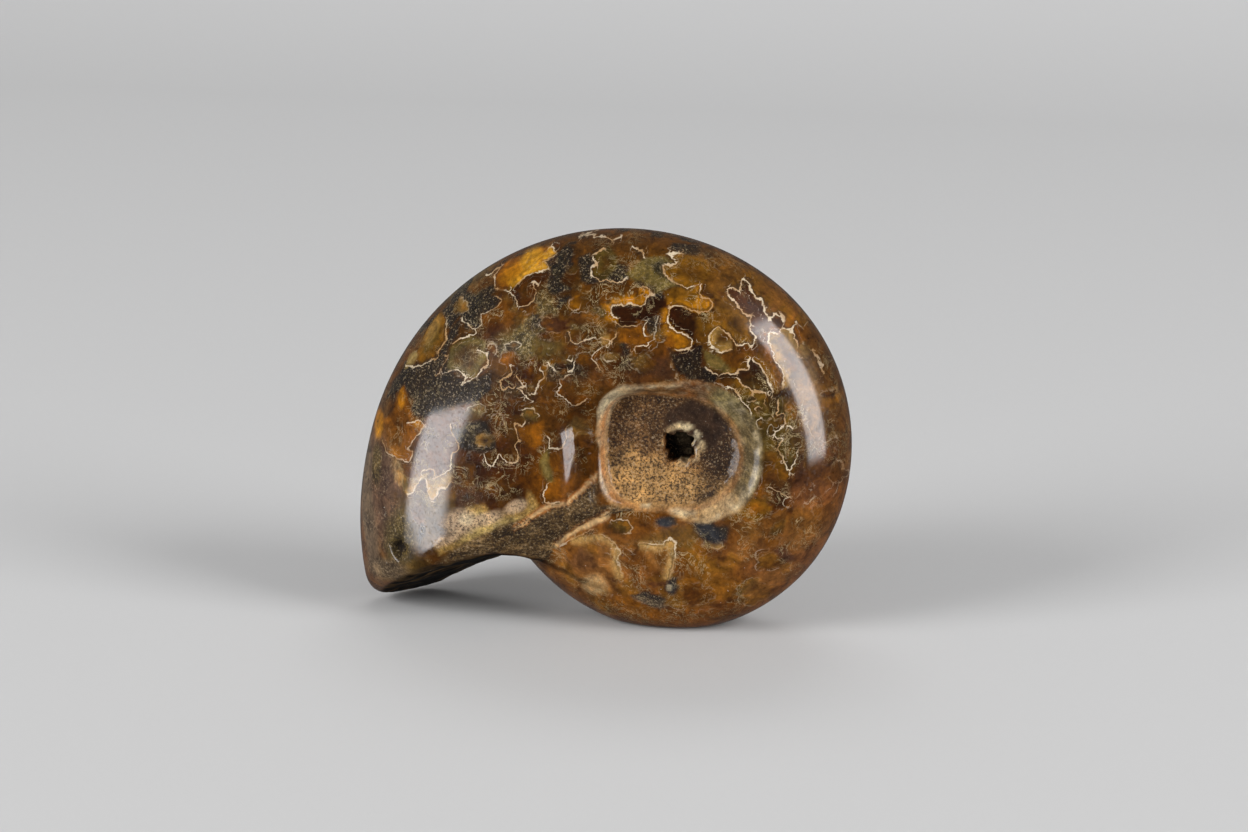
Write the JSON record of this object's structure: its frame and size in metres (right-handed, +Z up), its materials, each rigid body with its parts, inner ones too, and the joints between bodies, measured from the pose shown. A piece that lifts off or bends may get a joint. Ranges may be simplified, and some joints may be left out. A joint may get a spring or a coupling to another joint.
{
  "type": "ammonite fossil",
  "caption": "Polished coiled ammonite fossil in one piece, with a sediment-filled navel on each side and a ground mouth, standing on its edge as an ornament.",
  "frame": {"origin": "centre of the footprint box, on the plane the stone stands on", "axes": "+X along the length, away from the mouth; +Y through the thickness, away from the pictured flank; +Z up"},
  "size_m": [0.048, 0.0174, 0.0382],
  "materials": {
    "fossil_stone": "polished amber-brown calcite and dark matrix with cream suture lines"
  },
  "bodies": {
    "root": {"ammonite_fossil": "fossil_stone"}
  },
  "joints": []
}
